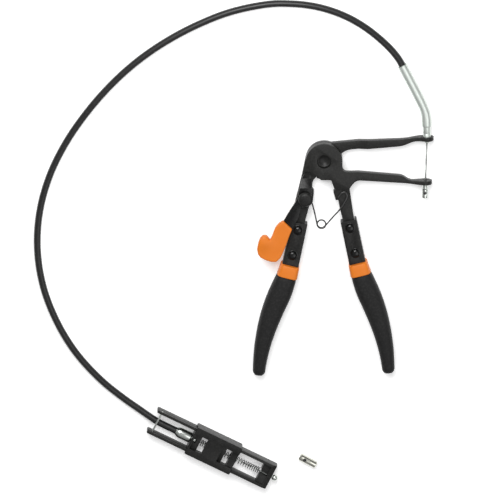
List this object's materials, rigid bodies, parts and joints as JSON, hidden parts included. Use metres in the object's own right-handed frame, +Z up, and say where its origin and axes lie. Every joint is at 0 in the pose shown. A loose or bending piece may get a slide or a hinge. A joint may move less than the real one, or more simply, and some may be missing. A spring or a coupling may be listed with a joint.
{
  "type": "flexible cable hose clamp pliers",
  "caption": "Reverse-action pliers whose jaws pull a wire through a long flexible sheath to close a sliding clamp head, for spring hose clamps out of reach.",
  "frame": {"origin": "centre of the pivot rivet's rear face, which rests on the table", "axes": "+Z up out of the table along the pivot's axis, +X along the jaws towards the wire, +Y from the grips towards the pivot"},
  "size_m": [0.3126, 0.3979, 0.0197],
  "materials": {
    "black_steel": "satin black oxide",
    "zinc": "bright zinc plate",
    "aluminium": "satin",
    "spring_steel": "oiled wire",
    "grip_rubber": "matte, fine grain",
    "orange_plastic": "dipped vinyl, semi-matte",
    "sheath_plastic": "satin"
  },
  "bodies": {
    "rear": {"rear_arm": "black_steel", "pivot_rivet": "black_steel", "left_channel": "black_steel", "left_grip": "grip_rubber", "left_collar": "orange_plastic", "left_rivet_1": "black_steel", "left_rivet_2": "black_steel", "latch_rivet": "black_steel", "latch_spring": "spring_steel", "hairpin_spring": "spring_steel", "guide_neck": "aluminium", "cable_sleeve": "aluminium", "cable_sheath": "sheath_plastic", "head_ferrule": "zinc", "head_slider": "black_steel", "head_spring": "spring_steel"},
    "front": {"front_arm": "black_steel", "right_channel": "black_steel", "right_grip": "grip_rubber", "right_collar": "orange_plastic", "right_rivet_1": "black_steel", "right_rivet_2": "black_steel"},
    "latch": {"latch_lever": "black_steel", "latch_cap": "orange_plastic"},
    "wire": {"jaw_wire": "zinc", "wire_stop": "zinc", "wire_stop_screw": "spring_steel"},
    "frame": {"head_frame": "black_steel", "head_pin": "zinc", "head_wire": "zinc", "wire_ball": "zinc"},
    "spare": {"spare_stop": "zinc", "spare_stop_screw": "spring_steel"}
  },
  "joints": [
    {"name": "handle_hinge", "type": "hinge", "parent": "rear", "child": "front", "pos_m": [0, 0, 0.01], "axis": [0, 0, -1], "range_deg": [0, 15], "stiffness_Nm_per_rad": 1.2, "deforming": ["hairpin_spring"]},
    {"name": "wire_tilt", "type": "hinge", "parent": "front", "child": "wire", "pos_m": [0.0792, -0.0179, 0.00775], "axis": [0, 0, 1], "range_deg": [0, 7.6]},
    {"name": "frame_slide", "type": "slide", "parent": "rear", "child": "frame", "axis": [-0.8934, 0.4493, 0], "range_m": [0, 0.021], "deforming": ["head_spring"]},
    {"name": "latch_swing", "type": "hinge", "parent": "rear", "child": "latch", "pos_m": [-0.0145, -0.0296, 0.014], "axis": [0, 0, -1], "range_deg": [0, 6], "stiffness_Nm_per_rad": 0.05},
    {"name": "spare_lift", "type": "slide", "parent": "rear", "child": "spare", "axis": [0, 0, 1], "range_m": [0, 0.03]}
  ],
  "couplings": [
    {"joint": "wire_tilt", "follows": "handle_hinge", "ratio": 0.5},
    {"joint": "frame_slide", "follows": "handle_hinge", "m_per_rad": 0.07834}
  ]
}
